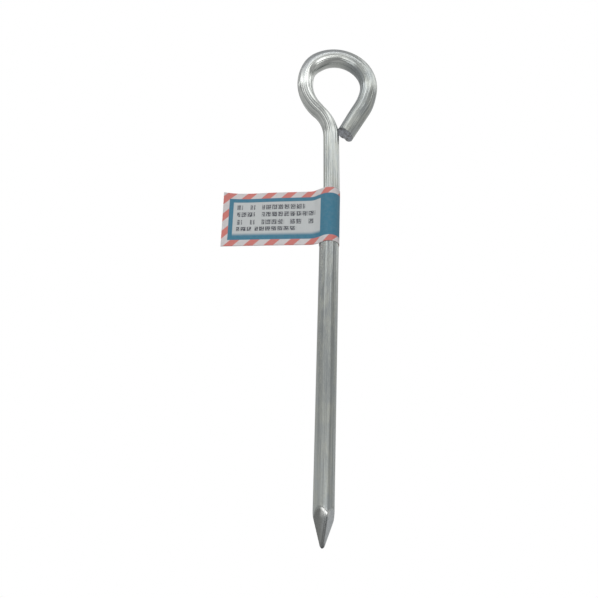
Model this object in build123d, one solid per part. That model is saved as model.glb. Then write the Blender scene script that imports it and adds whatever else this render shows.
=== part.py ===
from build123d import *
from math import acos, ceil, cos, pi, radians, sin
import os

# A tent stake bent from one round steel bar. It has a four-sided point, a straight round
# shaft, and an eye whose cut end comes back to rest beside the neck. Above the ground line
# the bar was squeezed between the bending jaws, so it is narrower across the eye's plane.
# A strip label is wrapped round the shaft and stuck to itself as a flag.
#
# Millimetres. +Z runs up the shaft to the eye, the eye lies in the XZ plane, and the flag
# points to -X. The origin is on the shaft's axis at the label's lower edge, which is as
# deep as the stake goes in with its label on.

# Shaft and point
SHAFT_DIAMETER = 7.7  # an 8 mm bar, a little under its size
GROUND_DEPTH = 122.0  # from the tip up to the origin
POINT_LENGTH = 10.1  # from the tip up to where the point's edges meet the round bar
SHOULDER_LENGTH = 3.0  # from there up to the top of the four flats
TIP_WIDTH = 0.5  # across the flats at the very end
NOSE_LENGTH = 0.8  # the blunt nose, from the end up to where the flats run straight
NOSE_WIDTH = 1.3
TIP_OFFSET = -0.3  # along X: the tip stands a little to one side of the axis
POINT_TURN = 18.0  # one edge of the point faces this many degrees to the right of -Y

# The bar above the ground line, as it was bent
SQUEEZED_THICKNESS = 7.3  # along Y, where the jaws held the bar
SECTION_SPACING = 1.5

# Label
LABEL_HEIGHT = 25.0
FLAG_LENGTH = 34.8  # the flag's flat part
FLAG_ANGLE = 4.3  # degrees that it turns away from the eye's plane, towards +Y
FLAG_LEAVES_AT = 47.5  # degrees round the bar from its front, where the front leaf leaves it
FLAG_BEND = 8.0
FILM = 0.12
ADHESIVE = 0.05
BARE_MARGIN = 0.8  # along the strip's two long edges, which have no adhesive


def run(length, width, side=0.0):
    """A straight run of the bar. Width, across the eye's plane, and side, how far the bar
    has moved along Y, are where it ends."""
    return {"length": length, "turn": 0.0, "width": width, "side": side}


def bend(radius, turn, width, side=0.0):
    """A bend of the bar's centre line, in degrees, positive to -X."""
    turned = radians(turn)
    return {"length": radius * abs(turned), "turn": turned, "width": width, "side": side}


# From the ground line to the cut end
COURSE = [
    bend(400.0, -1.7, width=7.1),
    run(10.0, width=6.55),
    bend(150.0, 3.0, width=6.55),
    run(22.7, width=6.5),
    bend(19.6, 40.2, width=5.7),  # the neck
    run(2.1, width=6.1),
    bend(20.8, -55.6, width=6.8),  # the eye's left side
    bend(11.8, -41.1, width=8.3),  # up to the crown
    bend(12.6, -55.3, width=8.1),
    bend(15.5, -75.8, width=7.25, side=0.3),  # the eye's right side
    bend(27.8, -21.7, width=7.85, side=0.7),
    run(14.1, width=7.45, side=1.5),
]


def eased(share):
    """0 to 1 with a level start and end."""
    return (1 - cos(pi * share)) / 2


def bar_section(centre, heading, width, thickness):
    """The bar's oval section, square to its centre line."""
    across, along = (cos(heading), 0, sin(heading)), (-sin(heading), 0, cos(heading))
    plane = Plane(origin=centre, x_dir=across, z_dir=along)
    return plane * Ellipse(width / 2, thickness / 2)


def bent_bar():
    """The bar from the ground line to its cut end, lofted along the course."""
    x = z = side = heading = 0.0  # the heading is in radians from +Z, positive to -X
    width = thickness = SHAFT_DIAMETER
    sections = [bar_section((x, side, z), heading, width, thickness)]
    for step in COURSE:
        count = ceil(step["length"] / SECTION_SPACING)
        turn = step["turn"] / count
        chord = step["length"] / count
        if turn:
            chord *= sin(turn / 2) / (turn / 2)
        for i in range(1, count + 1):
            x -= chord * sin(heading + turn / 2)
            z += chord * cos(heading + turn / 2)
            heading += turn
            share = eased(i / count)
            centre = (x, side + (step["side"] - side) * share, z)
            across = width + (step["width"] - width) * share
            through = thickness + (SQUEEZED_THICKNESS - thickness) * share
            sections.append(bar_section(centre, heading, across, through))
        width, side, thickness = step["width"], step["side"], SQUEEZED_THICKNESS
    return loft(sections, ruled=True)


def pointed_shaft():
    """The round shaft below the ground line, with four flats drawn in to a blunt tip."""
    radius = SHAFT_DIAMETER / 2
    edge_top = radius * 2**0.5
    shaft = Pos(0, 0, -GROUND_DEPTH) * extrude(Circle(radius), GROUND_DEPTH)
    point_height = POINT_LENGTH + SHOULDER_LENGTH
    heights = (0, NOSE_LENGTH, POINT_LENGTH, point_height)
    widths = (TIP_WIDTH, NOSE_WIDTH, edge_top, SHAFT_DIAMETER + 0.1)
    turn = Rot(0, 0, POINT_TURN - 45)
    squares = []
    for height, width in zip(heights, widths):
        offset = TIP_OFFSET * max(0.0, 1 - height / POINT_LENGTH)
        squares.append(Pos(offset, 0, height - GROUND_DEPTH) * turn * Rectangle(width, width))
    blank = Pos(0, 0, -GROUND_DEPTH) * extrude(Circle(radius), point_height)
    return (shaft - blank) + (blank & loft(squares, ruled=True))


def peg_bar():
    return pointed_shaft() + bent_bar()


def around(centre, radius, angle):
    """The point of a circle in plan at this angle from +Y, positive to +X."""
    return (centre[0] + radius * sin(angle), centre[1] + radius * cos(angle))


def wrapped_outline(clearance):
    """The strip in plan, this far outside the bar and each side of where its leaves meet.

    The front leaf goes on round the bar. Where it leaves the bar it bends the other way
    into the flag, and the back leaf closes up against it."""
    bar, free_way = SHAFT_DIAMETER / 2, radians(FLAG_ANGLE)
    leaves_at = radians(FLAG_LEAVES_AT)
    spacing = bar + FLAG_BEND
    bend_centre = around((0, 0), spacing, leaves_at + pi)
    wrap, inside, outside = bar + clearance, FLAG_BEND - clearance, FLAG_BEND + clearance
    from_bar = acos((wrap**2 + spacing**2 - outside**2) / (2 * wrap * spacing))
    from_bend = acos((outside**2 + spacing**2 - wrap**2) / (2 * outside * spacing))
    front_corner = around((0, 0), wrap, leaves_at + pi)
    back_corner = around((0, 0), wrap, leaves_at + pi + from_bar)
    across_the_bar = around((0, 0), wrap, leaves_at + from_bar / 2)
    front_flag = around(bend_centre, inside, free_way)
    back_flag = around(bend_centre, outside, free_way)
    free_x, free_y = -FLAG_LENGTH * cos(free_way), FLAG_LENGTH * sin(free_way)
    front_end = (front_flag[0] + free_x, front_flag[1] + free_y)
    back_end = (back_flag[0] + free_x, back_flag[1] + free_y)
    front_middle = around(bend_centre, inside, (leaves_at + free_way) / 2)
    back_middle = around(bend_centre, outside, (leaves_at - from_bend + free_way) / 2)
    edges = [
        Line(front_end, front_flag),
        ThreePointArc(front_flag, front_middle, front_corner),
        ThreePointArc(front_corner, across_the_bar, back_corner),
        ThreePointArc(back_corner, back_middle, back_flag),
        Line(back_flag, back_end),
        Line(back_end, front_end),
    ]
    return make_face(edges)


def label_strip():
    """The printed strip, wrapped round the bar and back along itself."""
    plan = wrapped_outline(ADHESIVE + FILM) - wrapped_outline(ADHESIVE)
    return extrude(plan, LABEL_HEIGHT)


def label_adhesive():
    """The adhesive on the strip's inner side, against the bar and between the leaves."""
    plan = wrapped_outline(ADHESIVE) - Circle(SHAFT_DIAMETER / 2)
    return Pos(0, 0, BARE_MARGIN) * extrude(plan, LABEL_HEIGHT - 2 * BARE_MARGIN)


os.makedirs("parts", exist_ok=True)
for make in (peg_bar, label_strip, label_adhesive):
    export_step(make(), f"parts/{make.__name__}.step")
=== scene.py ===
from math import acos, ceil, cos, exp, log, pi, radians, sin, sqrt, tan

import bpy
from mathutils import Matrix, Vector


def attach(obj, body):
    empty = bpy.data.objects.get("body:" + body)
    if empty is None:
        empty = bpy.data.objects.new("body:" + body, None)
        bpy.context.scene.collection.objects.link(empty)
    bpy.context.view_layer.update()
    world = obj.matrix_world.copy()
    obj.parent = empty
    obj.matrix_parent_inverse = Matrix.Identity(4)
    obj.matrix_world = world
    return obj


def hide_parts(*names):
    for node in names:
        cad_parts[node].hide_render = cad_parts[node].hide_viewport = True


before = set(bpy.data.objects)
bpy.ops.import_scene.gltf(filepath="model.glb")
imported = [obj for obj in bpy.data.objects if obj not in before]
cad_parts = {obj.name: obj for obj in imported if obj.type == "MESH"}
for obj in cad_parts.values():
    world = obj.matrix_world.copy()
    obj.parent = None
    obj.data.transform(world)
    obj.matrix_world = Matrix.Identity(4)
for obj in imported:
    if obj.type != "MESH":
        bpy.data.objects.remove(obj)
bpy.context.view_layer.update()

MM = 0.001  # the shapes below are worked out in millimetres and made in metres

# The bar, as the CAD model has it
SHAFT_DIAMETER = 7.7
GROUND_DEPTH = 122.0
SQUEEZED_THICKNESS = 7.3
POINT_TURN = 18.0  # one edge of the point faces this many degrees to the right of -Y

# The point's flats: how far they are from the axis
FLAT_AT_TIP = 0.47
FLAT_RISE = 0.2235  # further out for each millimetre up the point
HOLLOW_STARTS = 9.6  # above the tip, from where up the flats curve outwards
HOLLOW_RISE = 0.042  # further out still for each square millimetre above there
SIDE_SHARPNESS = 24  # of the superellipse between the flats, at the point's two side edges
FRONT_SHARPNESS = 8.5  # and at its front and back edges, which are worn round
SHOULDER_SOFTNESS = 0.09  # where the side edges run out into the round bar
WORN_SOFTNESS = 0.19  # more of it where the flats and the worn edges run out
WORN_SPREAD = 6  # the higher, the closer to the side edges that comes
NOSE_LENGTH = 0.9
DULLED_NOSE = 2.25  # how far up the nose's dullness reaches
POINT_TOP = 17.0
FULLY_GROUND = 0.04  # cut away, as a share of the radius, where the ground look is complete
TIP_OFFSET = -0.3
LEAN_STARTS = 10.1  # above the tip, from where down the point leans to one side

# The cut end
SHEARED_LENGTH = 2.0  # of the bar's end, which the shears pulled out of square
SHEAR_LEFT = 0.35
SHEAR_BACK = 0.2
ROLLED_EDGE = 0.35
BITE_DEPTH = 0.8  # the valley where the two blades met, from the front to the back
BITE_AT_FRONT = 1.6
BITE_AT_BACK = 0.4
BITE_WIDTH = 1.1
BITE_SHAPE = 1.4  # the exponent of its section
BITE_SHARE = 0.4  # of its depth, at the front

# Marks of the bending jaw on the outer side of the last run
MARKS = 5
FIRST_MARK = 9.4  # back from the cut end
MARK_SPACING = 1.05
MARK_WIDTH = 0.2
MARK_DEPTH = 0.09
MARK_ANGLE = -72.0  # degrees round the bar from its front
MARK_REACH = 34.0  # degrees to each side of that
MARK_SLANT = 0.9  # along the bar, over one radian round it

# Mesh of the bar
FACES_ROUND = 80
STATION_SPACING = 0.7
MARKED_SPACING = 0.13  # on the last run
POINT_SPACING = 0.22
NOSE_RINGS = 8
ROLLED_RINGS = 5
END_RINGS = 14

# Label
LABEL_HEIGHT = 25.0
FLAG_LENGTH = 34.8
FLAG_ANGLE = 4.3
FLAG_LEAVES_AT = 47.5
FLAG_BEND = 8.0
FILM = 0.12
ADHESIVE = 0.05
BARE_MARGIN = 0.8
FLAG_DROOP = 0.014  # for each millimetre out from the bar

# How the flag stands off its plane. Shares are of its reach, or of its height.
FLAG_STARTS = 8.0  # out from the axis
FLAG_REACH = 36.0
FLAG_WAVE = 0.3
FLAG_WAVE_LEVEL = 0.45  # up the flag, where the wave changes sides
FLAG_HOLLOW = 0.5
FLAG_HOLLOW_AT = 0.7
FLAG_HOLLOW_WIDTH = 0.2
FLAG_CURL = 1.3  # of the free upper corner
FLAG_CURL_STARTS = 0.78
FLAG_CURL_STARTS_UP = 0.35

# How the front leaf stands off the bar where it leaves it, at the top
SLACK = 0.75
SLACK_AT = -4.6
SLACK_WIDTH = 2.3
SLACK_STARTS = 0.05  # in front of the axis
SLACK_DEPTH = 1.2  # from there to where it is complete

# Mesh of the label
LABEL_ROWS = 40
FLAG_COLUMNS = 72
WRAP_COLUMNS = 72
BEND_COLUMNS = 12
SHARP_ANGLE = 40.0  # degrees


# Geometry of the bar


def run(length, width, side=0.0):
    """A straight run of the bar, as in the CAD model."""
    return {"length": length, "turn": 0.0, "width": width, "side": side}


def bend(radius, turn, width, side=0.0):
    """A bend of the bar's centre line, in degrees, positive to -X."""
    turned = radians(turn)
    return {"length": radius * abs(turned), "turn": turned, "width": width, "side": side}


COURSE = [
    bend(400.0, -1.7, width=7.1),
    run(10.0, width=6.55),
    bend(150.0, 3.0, width=6.55),
    run(22.7, width=6.5),
    bend(19.6, 40.2, width=5.7),  # the neck
    run(2.1, width=6.1),
    bend(20.8, -55.6, width=6.8),  # the eye's left side
    bend(11.8, -41.1, width=8.3),  # up to the crown
    bend(12.6, -55.3, width=8.1),
    bend(15.5, -75.8, width=7.25, side=0.3),  # the eye's right side
    bend(27.8, -21.7, width=7.85, side=0.7),
    run(14.1, width=7.45, side=1.5),
]


def eased(share):
    """0 to 1 with a level start and end."""
    return (1 - cos(pi * share)) / 2


def shaft_stations():
    """The straight bar from its tip up to the ground line."""
    heights = [NOSE_LENGTH * (1 - cos(pi / 2 * i / NOSE_RINGS)) for i in range(NOSE_RINGS)]
    fine = ceil((POINT_TOP - NOSE_LENGTH) / POINT_SPACING)
    heights += [NOSE_LENGTH + (POINT_TOP - NOSE_LENGTH) * i / fine for i in range(fine)]
    coarse = ceil((GROUND_DEPTH - POINT_TOP) / STATION_SPACING)
    heights += [POINT_TOP + (GROUND_DEPTH - POINT_TOP) * i / coarse for i in range(coarse)]
    for height in heights:
        along = height - GROUND_DEPTH
        yield {"along": along, "centre": Vector((0, 0, along)), "heading": 0.0,
               "width": SHAFT_DIAMETER, "thickness": SHAFT_DIAMETER, "height": height}


def course_stations():
    """The bar above the ground line, along its centre line to the cut end."""
    x = z = side = heading = along = 0.0
    width = thickness = SHAFT_DIAMETER
    yield {"along": 0.0, "centre": Vector((0, 0, 0)), "heading": 0.0,
           "width": width, "thickness": thickness, "height": GROUND_DEPTH}
    for step in COURSE:
        spacing = MARKED_SPACING if step is COURSE[-1] else STATION_SPACING
        count = ceil(step["length"] / spacing)
        turn = step["turn"] / count
        length = step["length"] / count
        chord = length * (sin(turn / 2) / (turn / 2) if turn else 1)
        for i in range(1, count + 1):
            x -= chord * sin(heading + turn / 2)
            z += chord * cos(heading + turn / 2)
            heading += turn
            along += length
            share = eased(i / count)
            yield {"along": along, "heading": heading,
                   "centre": Vector((x, side + (step["side"] - side) * share, z)),
                   "width": width + (step["width"] - width) * share,
                   "thickness": thickness + (SQUEEZED_THICKNESS - thickness) * share,
                   "height": GROUND_DEPTH + along}
        width, side, thickness = step["width"], step["side"], SQUEEZED_THICKNESS


def softer_least(one, other, softness):
    """The lesser of two lengths, with the corner between them rounded."""
    least = min(one, other)
    return least - softness * log(exp((least - one) / softness) + exp((least - other) / softness))


def pointed(angle, height):
    """The shaft's radius at this angle to the right of -Y, this high above the tip."""
    radius = SHAFT_DIAMETER / 2
    if height >= POINT_TOP:
        return radius
    flat = FLAT_AT_TIP + FLAT_RISE * height + HOLLOW_RISE * max(0.0, height - HOLLOW_STARTS) ** 2
    from_flat = angle - radians(POINT_TURN + 45)
    off_edge = abs(sin(angle - radians(POINT_TURN)))
    sharpness = FRONT_SHARPNESS if off_edge < sin(pi / 4) else SIDE_SHARPNESS
    rounded = abs(cos(from_flat)) ** sharpness + abs(sin(from_flat)) ** sharpness
    softness = SHOULDER_SOFTNESS + WORN_SOFTNESS * (1 - off_edge**WORN_SPREAD)
    radius = softer_least(radius, flat * rounded ** (-1 / sharpness), softness)
    if height < NOSE_LENGTH:
        radius *= sqrt(1 - (1 - height / NOSE_LENGTH) ** 2)
    return radius


def shear(to_end, across, front):
    """How far the shears moved this place along the bar, this far from the end."""
    share = max(0.0, 1 - to_end / SHEARED_LENGTH) ** 2
    radius = SHAFT_DIAMETER / 2
    backward = (1 - front / radius) / 2
    off = across - BITE_AT_FRONT - (BITE_AT_BACK - BITE_AT_FRONT) * backward
    depth = BITE_DEPTH * (BITE_SHARE + (1 - BITE_SHARE) * backward)
    bite = depth * exp(-abs(off / BITE_WIDTH) ** BITE_SHAPE)
    return -share * (SHEAR_LEFT * across / radius + SHEAR_BACK * front / radius + bite)


def jaw_marks(to_end, angle):
    """How deep the jaw's teeth cut into the bar here."""
    off = (angle - radians(MARK_ANGLE) + pi) % (2 * pi) - pi
    reach = exp(-((off / radians(MARK_REACH)) ** 4))
    deepest = 0.0
    for i in range(MARKS):
        middle = FIRST_MARK - i * MARK_SPACING + MARK_SLANT * off
        deepest = max(deepest, exp(-(((to_end - middle) / MARK_WIDTH) ** 2)))
    return MARK_DEPTH * deepest * reach


def bar_mesh():
    """The whole bar as one closed mesh, with each place's coordinates before it was bent."""
    stations = list(shaft_stations()) + list(course_stations())
    end = stations[-1]["along"]
    verts, straight, dull, ground, faces = [], [], [], [], []
    angles = [2 * pi * k / FACES_ROUND for k in range(FACES_ROUND)]

    def add_ring(station, shrink=1.0, forward=0.0, dulled=0.0):
        heading = station["heading"]
        across = Vector((cos(heading), 0, sin(heading)))
        onward = Vector((-sin(heading), 0, cos(heading)))
        to_end = end - station["along"]
        lean = TIP_OFFSET * max(0.0, 1 - station["height"] / LEAN_STARTS)
        for angle in angles:
            radius = (pointed(angle, station["height"]) - jaw_marks(to_end, angle)) * shrink
            aside, front = radius * sin(angle), radius * cos(angle)
            out = across * (aside * station["width"] / SHAFT_DIAMETER + lean)
            out += Vector((0, -front * station["thickness"] / SHAFT_DIAMETER, 0))
            push = shear(to_end, aside, front) + forward
            verts.append((station["centre"] + out + onward * push) * MM)
            straight.append(Vector((aside, -front, station["along"] + push)))
            dull.append(dulled)
            cut_in = 1 - pointed(angle, station["height"]) / (SHAFT_DIAMETER / 2)
            ground.append(min(1.0, cut_in / FULLY_GROUND))

    def close(at, is_end):
        """A fan from the last or the first ring to one vertex."""
        verts.append(sum((verts[i] for i in at), Vector()) / len(at))
        straight.append(sum((straight[i] for i in at), Vector()) / len(at))
        dull.append(1.0)
        ground.append(0.0)
        tip = len(verts) - 1
        for k, i in enumerate(at):
            j = at[(k + 1) % FACES_ROUND]
            faces.append((i, j, tip) if is_end else (j, i, tip))

    rings = 0
    for station in stations[:-1]:
        nose = max(0.0, 1 - station["height"] / DULLED_NOSE)
        add_ring(station, dulled=nose)
        rings += 1
    last = stations[-1]
    for i in range(ROLLED_RINGS):
        rolled = i / (ROLLED_RINGS - 1)
        turned = pi / 2 * rolled
        shrink = 1 - ROLLED_EDGE * (1 - cos(turned)) / (SHAFT_DIAMETER / 2)
        add_ring(last, shrink, -ROLLED_EDGE * (1 - sin(turned)), dulled=rolled)
        rings += 1
    for i in range(1, END_RINGS):
        shrink = (1 - ROLLED_EDGE / (SHAFT_DIAMETER / 2)) * (1 - i / END_RINGS)
        add_ring(last, shrink, 0.0, dulled=1.0)
        rings += 1
    for ring in range(rings - 1):
        low = ring * FACES_ROUND
        for k in range(FACES_ROUND):
            j = (k + 1) % FACES_ROUND
            faces.append((low + k, low + j, low + FACES_ROUND + j, low + FACES_ROUND + k))
    close(list(range(FACES_ROUND)), False)
    close(list(range((rings - 1) * FACES_ROUND, rings * FACES_ROUND)), True)

    mesh = bpy.data.meshes.new("peg_bar_surface")
    mesh.from_pydata([tuple(v) for v in verts], [], faces)
    place = mesh.attributes.new("straight", "FLOAT_VECTOR", "POINT")
    place.data.foreach_set("vector", [c for v in straight for c in v])
    for name, values in (("dull", dull), ("ground", ground)):
        mesh.attributes.new(name, "FLOAT", "POINT").data.foreach_set("value", values)
    mesh.shade_smooth()
    mesh.update()
    return mesh


# Geometry of the label


def around(centre, radius, angle):
    """The point of a circle in plan at this angle from +Y, positive to +X."""
    return Vector((centre[0] + radius * sin(angle), centre[1] + radius * cos(angle)))


def arc(centre, radius, start, stop, count):
    """Points along an arc in plan, without its last one."""
    return [around(centre, radius, start + (stop - start) * i / count) for i in range(count)]


def straight_run(start, stop, count):
    return [start.lerp(stop, i / count) for i in range(count)]


def wrapped(clearance):
    """The strip in plan, from the front leaf's free end round the bar to the back leaf's."""
    bar, free_way = SHAFT_DIAMETER / 2, radians(FLAG_ANGLE)
    leaves_at = radians(FLAG_LEAVES_AT)
    spacing = bar + FLAG_BEND
    bend_centre = around((0, 0), spacing, leaves_at + pi)
    wrap, inside, outside = bar + clearance, FLAG_BEND - clearance, FLAG_BEND + clearance
    from_bar = acos(min(1, (wrap**2 + spacing**2 - outside**2) / (2 * wrap * spacing)))
    from_bend = acos(min(1, (outside**2 + spacing**2 - wrap**2) / (2 * outside * spacing)))
    free = Vector((-FLAG_LENGTH * cos(free_way), FLAG_LENGTH * sin(free_way)))
    front_flag = around(bend_centre, inside, free_way)
    back_flag = around(bend_centre, outside, free_way)
    points = straight_run(front_flag + free, front_flag, FLAG_COLUMNS)
    points += arc(bend_centre, inside, free_way, leaves_at, BEND_COLUMNS)
    points += arc((0, 0), wrap, leaves_at + pi, leaves_at - pi + from_bar, WRAP_COLUMNS)
    points += arc(bend_centre, outside, leaves_at - from_bend, free_way, BEND_COLUMNS)
    points += straight_run(back_flag, back_flag + free, FLAG_COLUMNS)
    return points + [back_flag + free]


def lifted(x, z):
    """How far the flag stands off its plane, along Y: a slack hollow and a curled corner."""
    out = max(0.0, (-x - FLAG_STARTS) / FLAG_REACH)
    up = z / LABEL_HEIGHT
    wave = FLAG_WAVE * sin(pi * min(1.0, out)) * (up - FLAG_WAVE_LEVEL)
    hollow = FLAG_HOLLOW * exp(-(((out - FLAG_HOLLOW_AT) / FLAG_HOLLOW_WIDTH) ** 2)) * up**2
    out_in_curl = max(0.0, out - FLAG_CURL_STARTS) / (1 - FLAG_CURL_STARTS)
    up_in_curl = max(0.0, up - FLAG_CURL_STARTS_UP) / (1 - FLAG_CURL_STARTS_UP)
    return wave + hollow - FLAG_CURL * out_in_curl**2 * up_in_curl**2


def slack(point, z):
    """How far the front leaf stands off towards -Y where it leaves the bar."""
    in_front = min(1.0, max(0.0, (-SLACK_STARTS - point.y) / SLACK_DEPTH))
    near = exp(-(((point.x - SLACK_AT) / SLACK_WIDTH) ** 2))
    return SLACK * near * in_front * z / LABEL_HEIGHT


def strip_mesh(name, outer_clearance, inner_clearance, low, high):
    """A closed layer of the folded strip between two clearances from the bar, and its length."""
    outlines = wrapped(outer_clearance), wrapped(inner_clearance)
    count = len(outlines[0])
    lengths = [0.0]
    for one, other in zip(outlines[0], outlines[0][1:]):
        lengths.append(lengths[-1] + (other - one).length)
    heights = [low + (high - low) * row / LABEL_ROWS for row in range(LABEL_ROWS + 1)]
    verts, places = [], []
    for outline in outlines:
        for z in heights:
            for point, length in zip(outline, lengths):
                droop = FLAG_DROOP * min(0.0, point.x + SHAFT_DIAMETER / 2)
                y = point.y + lifted(point.x, z) - slack(point, z)
                verts.append((point.x * MM, y * MM, (z + droop) * MM))
                places.append((length, z))

    def at(layer, row, column):
        return (layer * (LABEL_ROWS + 1) + row) * count + column

    faces = []
    for row in range(LABEL_ROWS):
        for c in range(count - 1):
            outer = [at(0, row, c), at(0, row, c + 1), at(0, row + 1, c + 1), at(0, row + 1, c)]
            inner = [at(1, row, c), at(1, row + 1, c), at(1, row + 1, c + 1), at(1, row, c + 1)]
            faces += [outer, inner]
        for c, flip in ((0, False), (count - 1, True)):
            rim = [at(0, row, c), at(0, row + 1, c), at(1, row + 1, c), at(1, row, c)]
            faces.append(rim[::-1] if flip else rim)
    for c in range(count - 1):
        for row, flip in ((0, True), (LABEL_ROWS, False)):
            rim = [at(0, row, c), at(0, row, c + 1), at(1, row, c + 1), at(1, row, c)]
            faces.append(rim[::-1] if flip else rim)
    mesh = bpy.data.meshes.new(name)
    mesh.from_pydata(verts, [], faces)
    uv = mesh.uv_layers.new(name="print")
    for loop in mesh.loops:
        uv.data[loop.index].uv = places[loop.vertex_index]
    mesh.shade_smooth()
    mesh.set_sharp_from_angle(angle=radians(SHARP_ANGLE))
    mesh.update()
    return mesh, lengths[-1]


# Node helpers


class Nodes:
    """Short names for the nodes of one material or world."""

    def __init__(self, tree):
        self.tree = tree
        tree.nodes.clear()

    def new(self, kind, **settings):
        node = self.tree.nodes.new(kind)
        for name, value in settings.items():
            setattr(node, name, value)
        return node

    def feed(self, socket, value):
        if isinstance(value, bpy.types.NodeSocket):
            self.tree.links.new(value, socket)
        else:
            socket.default_value = value

    def math(self, operation, *values, clamp=False):
        node = self.new("ShaderNodeMath", operation=operation, use_clamp=clamp)
        for socket, value in zip(node.inputs, values):
            self.feed(socket, value)
        return node.outputs[0]

    def product(self, *values):
        result = values[0]
        for value in values[1:]:
            result = self.math("MULTIPLY", result, value)
        return result

    def less(self, value, share):
        """1 where the value is 0, and this share less where it is 1."""
        return self.math("SUBTRACT", 1.0, self.product(value, share))

    def parts(self, vector):
        node = self.new("ShaderNodeSeparateXYZ")
        self.feed(node.inputs[0], vector)
        return node.outputs["X"], node.outputs["Y"], node.outputs["Z"]

    def dot(self, vector, constant):
        node = self.new("ShaderNodeVectorMath", operation="DOT_PRODUCT")
        self.feed(node.inputs[0], vector)
        node.inputs[1].default_value = constant
        return node.outputs["Value"]

    def stretched(self, vector, factors):
        node = self.new("ShaderNodeVectorMath", operation="MULTIPLY")
        self.feed(node.inputs[0], vector)
        node.inputs[1].default_value = factors
        return node.outputs["Vector"]

    def noise(self, vector, scale=1.0, detail=2.0, roughness=0.5):
        node = self.new("ShaderNodeTexNoise")
        self.feed(node.inputs["Vector"], vector)
        node.inputs["Scale"].default_value = scale
        node.inputs["Detail"].default_value = detail
        node.inputs["Roughness"].default_value = roughness
        return node.outputs["Fac"]

    def ramp(self, value, low, high, to_low=0.0, to_high=1.0):
        """A smooth change from one result to the other between two values."""
        node = self.new("ShaderNodeMapRange", interpolation_type="SMOOTHSTEP")
        self.feed(node.inputs["Value"], value)
        for name, number in (("From Min", low), ("From Max", high),
                             ("To Min", to_low), ("To Max", to_high)):
            self.feed(node.inputs[name], number)
        return node.outputs["Result"]

    def between(self, value, rise, fall):
        """1 between two changes. Each is a pair: where it is still 0, and where it is 1."""
        return self.product(self.ramp(value, *rise), self.ramp(value, *fall))

    def near(self, value, middle, far, close):
        """1 this close to the middle, and 0 this far from it."""
        off = self.math("ABSOLUTE", self.math("SUBTRACT", value, middle))
        return self.ramp(off, far, close)

    def mix(self, share, one, other):
        node = self.new("ShaderNodeMix", data_type="RGBA")
        self.feed(node.inputs["Factor"], share)
        self.feed(node.inputs["A"], one)
        self.feed(node.inputs["B"], other)
        return node.outputs["Result"]

    def bump(self, height, distance, strength=1.0, normal=None):
        node = self.new("ShaderNodeBump")
        self.feed(node.inputs["Height"], height)
        node.inputs["Distance"].default_value = distance
        node.inputs["Strength"].default_value = strength
        if normal is not None:
            self.feed(node.inputs["Normal"], normal)
        return node.outputs["Normal"]


def new_material(name):
    material = bpy.data.materials.new(name)
    material.use_nodes = True
    nodes = Nodes(material.node_tree)
    shader = nodes.new("ShaderNodeBsdfPrincipled")
    output = nodes.new("ShaderNodeOutputMaterial")
    nodes.tree.links.new(shader.outputs[0], output.inputs["Surface"])
    return material, nodes, shader


# Materials


# Where the bar's look changes, in millimetres along it up from the ground line. Each pair is
# where a change begins and where it is complete.
BENT_RISE, BENT_FALL = (44.0, 68.0), (126.0, 98.0)  # brighter round the eye: painted sheen, a lighter colour standing for the light it reflects
CROWN_RISE, CROWN_FALL = (80.0, 92.0), (120.0, 104.0)
LAST_RUN = (106.0, 118.0)
DEEPER_BANDS = (10.0, 60.0)
RIDGE_DARKENS = (-107.5, -111.0)  # painted shade, darker down the point's front edge
# painted highlight, above the painted dark ridge
HIGHLIGHT_RISE, HIGHLIGHT_FALL = (-112.3, -110.0), (-106.0, -108.2)
NOSE_DARKENS = (-110.0, -120.0)

# The same across the bar, to its right. Round the eye, that is its inner side.
OUTER_SIDE = (0.9, -0.7)
INNER_SIDE = (1.2, 2.6)
ACROSS_FLATS = (-1.5, 1.8)

# Where the point's painted dark ridge and painted highlight are, beside its front edge: middle,
# and the distances where they end and where they are full
RIDGE_BESIDE = (-0.2, 0.75, 0.25)
HIGHLIGHT_BESIDE = (-0.5, 2.0, 1.0)

ZINC = (0.57, 0.605, 0.60, 1)
YELLOWER_ZINC = (0.63, 0.65, 0.60, 1)
PAINTED_SHEEN_ZINC = (0.92, 0.945, 0.905, 1)
CROWN_OUTSIDE = (0.60, 0.625, 0.64, 1)
BAND = (0.36, 0.39, 0.39, 1)
FINE_LINE = (0.30, 0.33, 0.33, 1)
SPECK = (0.36, 0.38, 0.385, 1)
LAST_RUN_INSIDE_SHADE = (0.38, 0.41, 0.42, 1)
SHADED_LEFT_FLAT = (0.34, 0.35, 0.335, 1)
LIT_RIGHT_FLAT = (0.80, 0.84, 0.86, 1)
FLAT_GRAIN = (0.22, 0.23, 0.23, 1)
RIDGE_SHADE = (0.15, 0.155, 0.155, 1)
PAINTED_HIGHLIGHT = (0.97, 0.985, 0.96, 1)
CUT_DARK = (0.36, 0.355, 0.35, 1)
CUT_BRIGHT = (0.66, 0.69, 0.74, 1)
NOSE_STEEL = (0.27, 0.28, 0.285, 1)

# Heights of the bar's relief, in metres
COARSE_RELIEF = 0.00030
BAND_RELIEF = 0.00016
FINE_RELIEF = 0.00003
GRIT_RELIEF = 0.00002


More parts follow.
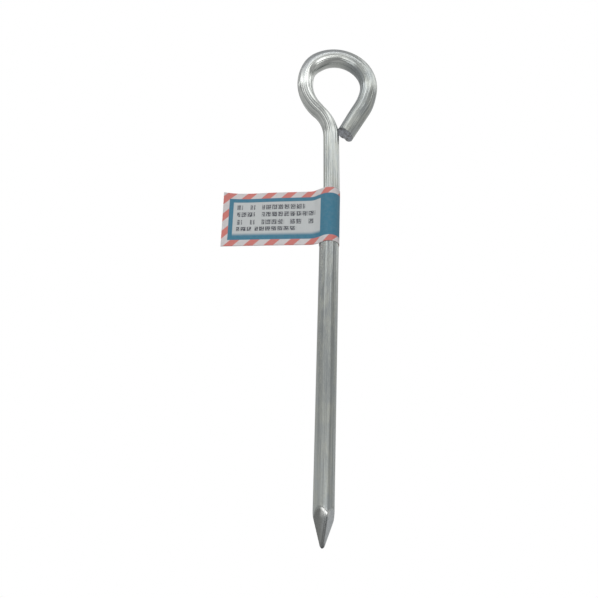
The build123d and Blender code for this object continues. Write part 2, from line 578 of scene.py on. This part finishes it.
def zinc_plated_steel():
    """Bright zinc over drawn steel: lines along the bar, a lighter colour round the eye as
    painted sheen, grained flats darker on the left and lighter on the right as painted shade and
    light, a painted dark ridge down the point's front edge with a painted highlight above it, the
    last run's inner side darker as painted shade, and a dull blotched cut end."""
    material, n, shader = new_material("zinc_plated_steel")
    place = n.new("ShaderNodeAttribute", attribute_name="straight").outputs["Vector"]
    dull = n.new("ShaderNodeAttribute", attribute_name="dull").outputs["Fac"]
    ground = n.new("ShaderNodeAttribute", attribute_name="ground").outputs["Fac"]
    aside, _, along = n.parts(place)

    def grain(across, lengthwise, detail, roughness=0.5):
        """Noise with this many features to a millimetre across the bar and along it."""
        scaled = n.stretched(place, (across, across, lengthwise))
        return n.noise(scaled, detail=detail, roughness=roughness)

    # Places on the bar
    bent = n.between(along, BENT_RISE, BENT_FALL)
    crown = n.between(along, CROWN_RISE, CROWN_FALL)
    outer = n.product(crown, n.ramp(aside, *OUTER_SIDE))
    inner = n.product(n.ramp(along, *LAST_RUN), n.ramp(aside, *INNER_SIDE))
    edge_turn = radians(POINT_TURN)
    beside = n.dot(place, (cos(edge_turn), sin(edge_turn), 0))  # of the point's front edge
    shaded_ridge = n.product(n.near(beside, *RIDGE_BESIDE), n.ramp(along, *RIDGE_DARKENS))
    highlight = n.product(n.near(beside, *HIGHLIGHT_BESIDE),
                         n.between(along, HIGHLIGHT_RISE, HIGHLIGHT_FALL),
                         n.ramp(ground, 0.05, 0.3))

    # Textures, most of them drawn out along the bar
    coarse = grain(0.75, 0.008, detail=2)
    bands = n.ramp(grain(1.15, 0.009, detail=1), 0.40, 0.60)
    fine = grain(3.2, 0.035, detail=3, roughness=0.6)
    clouds = grain(0.35, 0.12, detail=4, roughness=0.6)
    grit = grain(2.2, 1.1, detail=4, roughness=0.65)
    blotches = n.ramp(n.noise(place, scale=0.55, detail=4, roughness=0.6), 0.38, 0.60)

    # Colour: the round bar, then the point's flats, then the bare steel of both ends
    zinc = n.mix(n.ramp(clouds, 0.35, 0.7), ZINC, YELLOWER_ZINC)
    # painted sheen: a lighter colour round the eye stands for the extra light the metal there
    # reflects
    zinc = n.mix(bent, zinc, PAINTED_SHEEN_ZINC)
    # the crown's outer side takes most of that painted sheen back
    zinc = n.mix(n.product(outer, 0.9), zinc, CROWN_OUTSIDE)
    off_crown = n.math("SUBTRACT", 0.48, crown)
    banded = n.math("MULTIPLY", n.product(bands, bent), off_crown, clamp=True)
    zinc = n.mix(banded, zinc, BAND)
    zinc = n.mix(n.ramp(fine, 0.36, 0.60, 0.35, 0.0), zinc, FINE_LINE)
    zinc = n.mix(n.ramp(grit, 0.56, 0.72, 0.0, 0.35), zinc, SPECK)
    # painted shade: the last run's inner side is darker in colour
    zinc = n.mix(n.product(inner, 0.8), zinc, LAST_RUN_INSIDE_SHADE)
    # painted shade and light: the same ground steel, darker on the left flat and lighter on the
    # right
    flats = n.mix(n.ramp(aside, *ACROSS_FLATS), SHADED_LEFT_FLAT, LIT_RIGHT_FLAT)
    flats = n.mix(n.ramp(grit, 0.42, 0.66, 0.0, 0.3), flats, FLAT_GRAIN)
    # painted shade: the ridge down the front edge is darker in colour
    flats = n.mix(n.product(shaded_ridge, 0.8), flats, RIDGE_SHADE)
    colour = n.mix(n.product(ground, 0.9), zinc, flats)
    # painted highlight: a near-white colour where the point's front edge runs into the round bar
    colour = n.mix(highlight, colour, PAINTED_HIGHLIGHT)
    bare = n.mix(blotches, CUT_DARK, CUT_BRIGHT)
    bare = n.mix(n.ramp(along, *NOSE_DARKENS), bare, NOSE_STEEL)
    n.feed(shader.inputs["Base Color"], n.mix(dull, colour, bare))

    rough = n.ramp(clouds, 0.3, 0.7, 0.12, 0.21)
    rough = n.math("ADD", rough, n.ramp(fine, 0.3, 0.7, 0.05, -0.03))
    for where, more in ((ground, 0.12), (outer, 0.14), (bent, -0.06), (dull, 0.25)):
        rough = n.math("ADD", rough, n.product(where, more))
    n.feed(shader.inputs["Roughness"], rough)
    shader.inputs["Metallic"].default_value = 1.0

    # Relief, which fades on the ground flats and round the crown
    unground = n.ramp(ground, 0.0, 0.3, 1.0, 0.08)
    calm = n.ramp(ground, 0.0, 0.25, 1.0, 0.12)
    deeper = n.math("SUBTRACT", n.ramp(along, *DEEPER_BANDS, 0.30, 1.0), n.product(crown, 0.75))
    normal = None
    for height, distance in (
        (n.product(coarse, n.less(crown, 0.8), unground), COARSE_RELIEF),
        (n.product(bands, deeper, unground), BAND_RELIEF),
        (n.product(fine, calm), FINE_RELIEF),
        (n.product(grit, calm, n.less(bent, 0.6)), GRIT_RELIEF),
    ):
        normal = n.bump(height, distance, normal=normal)
    n.feed(shader.inputs["Normal"], normal)
    return material


RED = (0.65, 0.19, 0.165, 1)
WHITE = (0.66, 0.62, 0.625, 1)
BLUE = (0.038, 0.19, 0.29, 1)
PANEL = (0.555, 0.578, 0.58, 1)
INK = (0.05, 0.055, 0.07, 1)
GRIME = (0.4, 0.41, 0.42, 1)

BORDER = 2.7  # from the strip's long edges in to the blue frame
END_BORDER = 2.5  # from its two ends
STRIPE_PERIOD = 8.05
STRIPES_START = 0.7
RED_SHARE = (0.03, 0.50)  # of a period, from where to where a red stripe is
FRAME_WIDTH = 1.75
PANEL_END = 39.6  # along the strip, where the solid blue begins
FADE = (4.3, 6.2)  # the panel's lower edge fades into the frame
STROKE_SPACING = 0.78  # of the marks that stand for text
CELL = 2.45  # every so far along, a gap between two marks
SIDE_WANDER = 1.6  # of the upright strokes
RISE_WANDER = 0.9  # of the level ones

# Rows of plain strokes in the place of text: height above the lower edge, and where the
# words are along the strip
TEXT_ROWS = [
    {"z": 18.1, "height": 2.3, "words": [(5.8, 8.0), (11.1, 13.0), (15.8, 33.0)], "ink": 0.9},
    {"z": 14.6, "height": 2.2, "words": [(5.8, 13.0), (15.8, 37.2)], "ink": 0.95},
    {"z": 11.0, "height": 2.3, "words": [(6.0, 8.0), (11.2, 13.0), (15.8, 24.8), (27.2, 31.8),
                                         (34.6, 36.7)], "ink": 0.9},
    {"z": 7.8, "height": 1.9, "words": [(5.8, 11.8), (13.2, 29.7)], "ink": 1.0},
]


def label_print(strip_length):
    """Printed film: a striped border, a blue frame, and a panel with rows of plain strokes."""
    material, n, shader = new_material("label_film")
    uv = n.new("ShaderNodeUVMap", uv_map="print").outputs["UV"]
    along, up, _ = n.parts(uv)

    def inside(value, low, high, soft=0.12):
        return n.between(value, (low - soft, low + soft), (high + soft, high - soft))

    def stroke(value, spacing, share):
        """Lines this far apart, each this share of the spacing wide."""
        part = n.math("FRACT", n.math("DIVIDE", value, spacing))
        return inside(part, 0.5 - share / 2, 0.5 + share / 2)

    diagonal = n.math("SUBTRACT", n.math("SUBTRACT", along, STRIPES_START), up)
    stripe = n.math("FRACT", n.math("DIVIDE", diagonal, STRIPE_PERIOD))
    colour = n.mix(inside(stripe, *RED_SHARE, soft=0.02), WHITE, RED)
    framed = n.product(inside(up, BORDER, LABEL_HEIGHT - BORDER),
                       inside(along, END_BORDER, strip_length - END_BORDER, soft=0.1))
    colour = n.mix(framed, colour, BLUE)
    panel_top = LABEL_HEIGHT - BORDER - FRAME_WIDTH
    panel = n.product(n.between(up, FADE, (panel_top + 0.1, panel_top - 0.1)),
                      inside(along, END_BORDER + FRAME_WIDTH, PANEL_END))
    colour = n.mix(panel, colour, PANEL)

    wander = n.noise(n.stretched(uv, (0.9, 0.9, 1)), detail=1)
    leaning = n.math("ADD", along, n.product(wander, SIDE_WANDER))
    rising = n.math("ADD", up, n.product(wander, RISE_WANDER))
    presence = n.noise(n.stretched(uv, (1.3, 0.9, 1)), detail=1)
    upright = n.product(stroke(leaning, STROKE_SPACING, 0.6), n.ramp(presence, 0.30, 0.42))
    level = n.product(stroke(rising, STROKE_SPACING, 0.5), n.ramp(presence, 0.68, 0.54))
    cells = n.ramp(n.math("PINGPONG", along, CELL / 2), 0.12, 0.3)
    strokes = n.product(n.math("MAXIMUM", upright, level), cells)
    ink = None
    for row in TEXT_ROWS:
        words = None
        for start, stop in row["words"]:
            word = inside(along, start, stop)
            words = word if words is None else n.math("MAXIMUM", words, word)
        low = row["z"] - row["height"] / 2
        here = n.product(words, inside(up, low, low + row["height"]), row["ink"])
        ink = here if ink is None else n.math("MAXIMUM", ink, here)
    colour = n.mix(n.product(ink, strokes), colour, INK)

    mottle = n.noise(uv, scale=0.6, detail=4, roughness=0.65)
    shade = n.ramp(mottle, 0.3, 0.7, 0.0, 0.1)
    n.feed(shader.inputs["Base Color"], n.mix(shade, colour, GRIME))
    n.feed(shader.inputs["Roughness"], n.ramp(mottle, 0.3, 0.7, 0.42, 0.58))
    creases = n.noise(n.stretched(uv, (0.5, 0.12, 1)), detail=3, roughness=0.55)
    n.feed(shader.inputs["Normal"], n.bump(creases, 0.0004, strength=0.5))
    shader.inputs["Specular IOR Level"].default_value = 0.4
    return material


CLEAR_ADHESIVE = (0.62, 0.58, 0.42, 1)
DUST = (0.35, 0.33, 0.28, 1)


def tacky_adhesive():
    """Clear, slightly yellow adhesive with dust caught in it."""
    material, n, shader = new_material("label_adhesive")
    place = n.new("ShaderNodeTexCoord").outputs["Object"]
    dust = n.noise(place, scale=900.0, detail=3, roughness=0.6)
    n.feed(shader.inputs["Base Color"], n.mix(n.ramp(dust, 0.5, 0.7), CLEAR_ADHESIVE, DUST))
    n.feed(shader.inputs["Roughness"], n.ramp(dust, 0.35, 0.7, 0.15, 0.4))
    n.feed(shader.inputs["Normal"], n.bump(dust, 0.00003))
    return material


def pale_floor():
    material, n, shader = new_material("pale_floor")
    place = n.new("ShaderNodeTexCoord").outputs["Object"]
    faint = n.noise(place, scale=3.0, detail=3)
    n.feed(shader.inputs["Base Color"],
           n.mix(faint, (0.86, 0.86, 0.86, 1), (0.9, 0.9, 0.9, 1)))
    shader.inputs["Roughness"].default_value = 0.9
    shader.inputs["Emission Color"].default_value = (1, 1, 1, 1)
    shader.inputs["Emission Strength"].default_value = 0.35
    return material


# Light: a soft pale surround with softboxes in it. Angles are in degrees, and azimuth is to
# the right of -Y. Half is half of a box's width and height, and soft is how far its edges
# fade. A box whose light is below zero is a darker patch.

SOFTBOXES = [
    {"azimuth": -23, "elevation": -2, "half": (12, 4.5), "soft": 4, "light": 1.7},
    {"azimuth": -14, "elevation": 9, "half": (8, 5), "soft": 6, "light": 0.7},
    {"azimuth": 17, "elevation": 3, "half": (20, 3.8), "soft": 4, "light": 1.8},
    {"azimuth": 20, "elevation": 9, "half": (8, 6), "soft": 6, "light": 0.9},
    {"azimuth": -60, "elevation": 40.5, "half": (34, 4.5), "soft": 4, "light": 1.5},
    {"azimuth": -1, "elevation": 42, "half": (21, 3.5), "soft": 3.5, "light": 1.2},
    {"azimuth": -30, "elevation": 54, "half": (40, 5), "soft": 6, "light": 0.7},
    {"azimuth": 62, "elevation": 42, "half": (40, 4), "soft": 5, "light": 1.0},
    {"azimuth": 62, "elevation": 56, "half": (46, 5), "soft": 6, "light": 1.0},
    {"azimuth": 140, "elevation": 45, "half": (30, 14), "soft": 10, "light": 0.25},
    {"azimuth": 5, "elevation": 17, "half": (17, 4), "soft": 5, "light": 0.35},
    {"azimuth": 60, "elevation": 18, "half": (22, 14), "soft": 8, "light": -0.17},
    {"azimuth": 45, "elevation": -42, "half": (60, 18), "soft": 14, "light": -0.13},
    {"azimuth": -80, "elevation": 22, "half": (13, 12), "soft": 8, "light": -0.13},
]
# Elevation and light, from the lowest up
SURROUND = ((-60, 0.42), (-30, 0.44), (-12, 0.47), (8, 0.53), (18, 0.67), (28, 0.52), (36, 0.50),
            (45, 0.62), (75, 0.52))


def toward(azimuth, elevation):
    a, e = radians(azimuth), radians(elevation)
    return Vector((sin(a) * cos(e), -cos(a) * cos(e), sin(e)))


def studio():
    """The softboxes light the bar and show in it, and the camera sees plain white."""
    world = bpy.data.worlds.new("studio")
    world.use_nodes = True
    bpy.context.scene.world = world
    n = Nodes(world.node_tree)
    way = n.new("ShaderNodeTexCoord").outputs["Generated"]
    height = n.dot(way, (0, 0, 1))
    light = SURROUND[0][1]
    for (low, dim), (high, bright) in zip(SURROUND, SURROUND[1:]):
        step = n.ramp(height, sin(radians(low)), sin(radians(high)), 0.0, bright - dim)
        light = n.math("ADD", light, step)
    for box in SOFTBOXES:
        ahead = toward(box["azimuth"], box["elevation"])
        right = toward(box["azimuth"] + 90, 0)
        upward = right.cross(-ahead)
        depth = n.dot(way, ahead)
        share = n.math("GREATER_THAN", depth, 0.01)
        for axis, half in zip((right, upward), box["half"]):
            slant = n.math("ABSOLUTE", n.math("DIVIDE", n.dot(way, axis), depth))
            inner = tan(radians(half - box["soft"] / 2))
            outer = tan(radians(half + box["soft"] / 2))
            share = n.product(share, n.ramp(slant, outer, inner))
        light = n.math("ADD", light, n.product(share, box["light"]))
    background = n.new("ShaderNodeBackground")
    n.feed(background.inputs["Strength"], n.math("MAXIMUM", light, 0.0))
    plain = n.new("ShaderNodeBackground")
    plain.inputs["Strength"].default_value = 1.0
    plain.inputs["Color"].default_value = (1, 1, 1, 1)
    mixed = n.new("ShaderNodeMixShader")
    n.feed(mixed.inputs["Fac"], n.new("ShaderNodeLightPath").outputs["Is Camera Ray"])
    n.tree.links.new(background.outputs[0], mixed.inputs[1])
    n.tree.links.new(plain.outputs[0], mixed.inputs[2])
    output = n.new("ShaderNodeOutputWorld")
    n.tree.links.new(mixed.outputs[0], output.inputs["Surface"])


FILL_LIGHT = 0.9
FILL_SPREAD = 60.0  # degrees
FILL_FROM = (-12, 22)  # azimuth and elevation


def make_fill():
    """A broad soft light from the front, which isn't reflected in the metal."""
    data = bpy.data.lights.new("fill", "SUN")
    data.energy, data.angle = FILL_LIGHT, radians(FILL_SPREAD)
    fill = bpy.data.objects.new("fill", data)
    bpy.context.scene.collection.objects.link(fill)
    fill.rotation_euler = (-toward(*FILL_FROM)).to_track_quat("-Z", "Y").to_euler()
    fill.visible_glossy = False


FLOOR_HALF = 6.0  # metres
FLOOR_LEVEL = -0.29


def make_floor():
    """A floor below the camera's view. It isn't reflected in the bar."""
    mesh = bpy.data.meshes.new("floor")
    half, level = FLOOR_HALF, FLOOR_LEVEL
    mesh.from_pydata([(-half, -half, level), (half, -half, level), (half, half, level),
                      (-half, half, level)], [], [(0, 1, 2, 3)])
    floor = bpy.data.objects.new("floor", mesh)
    bpy.context.scene.collection.objects.link(floor)
    floor.data.materials.append(pale_floor())
    floor.visible_glossy = False
    floor.visible_diffuse = False
    floor.visible_shadow = False


# Camera. It looks up at the stake from 28.7 degrees below.

CAMERA_PLACE = Vector((-11.1, -396.7, -242.1)) * MM
CAMERA_LOOKS_AT = Vector((-11.1, 0.0, -24.5)) * MM
CAMERA_ROLL = 1.95  # degrees
CAMERA_LENS = 71.04


def make_camera():
    data = bpy.data.cameras.new("camera")
    data.lens = CAMERA_LENS
    data.sensor_width = 36
    data.clip_start = 0.01
    camera = bpy.data.objects.new("camera", data)
    bpy.context.scene.collection.objects.link(camera)
    ahead = (CAMERA_LOOKS_AT - CAMERA_PLACE).normalized()
    right = ahead.cross(Vector((0, 0, 1))).normalized()
    turn = Matrix.Rotation(-radians(CAMERA_ROLL), 3, ahead)
    right = turn @ right
    upward = right.cross(ahead)
    axes = Matrix((right, upward, -ahead)).transposed()
    camera.matrix_world = Matrix.Translation(CAMERA_PLACE) @ axes.to_4x4()
    bpy.context.scene.camera = camera


def add_piece(name, mesh, material, slot, *replaced):
    piece = bpy.data.objects.new(name, mesh)
    bpy.context.scene.collection.objects.link(piece)
    piece.data.materials.append(material)
    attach(piece, "root")
    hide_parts(*replaced)


make_camera()
studio()
make_fill()
make_floor()
bpy.context.scene.view_settings.view_transform = "Standard"

add_piece("bar", bar_mesh(), zinc_plated_steel(), "zinc_plated_steel", "peg_bar")
film, strip_length = strip_mesh(
    "label_film_surface", ADHESIVE + FILM, ADHESIVE, 0.0, LABEL_HEIGHT)
add_piece("label", film, label_print(strip_length), "label_film", "label_strip")
glue, _ = strip_mesh(
    "label_adhesive_surface", ADHESIVE, 0.0, BARE_MARGIN, LABEL_HEIGHT - BARE_MARGIN)
add_piece("adhesive", glue, tacky_adhesive(), "label_adhesive", "label_adhesive")
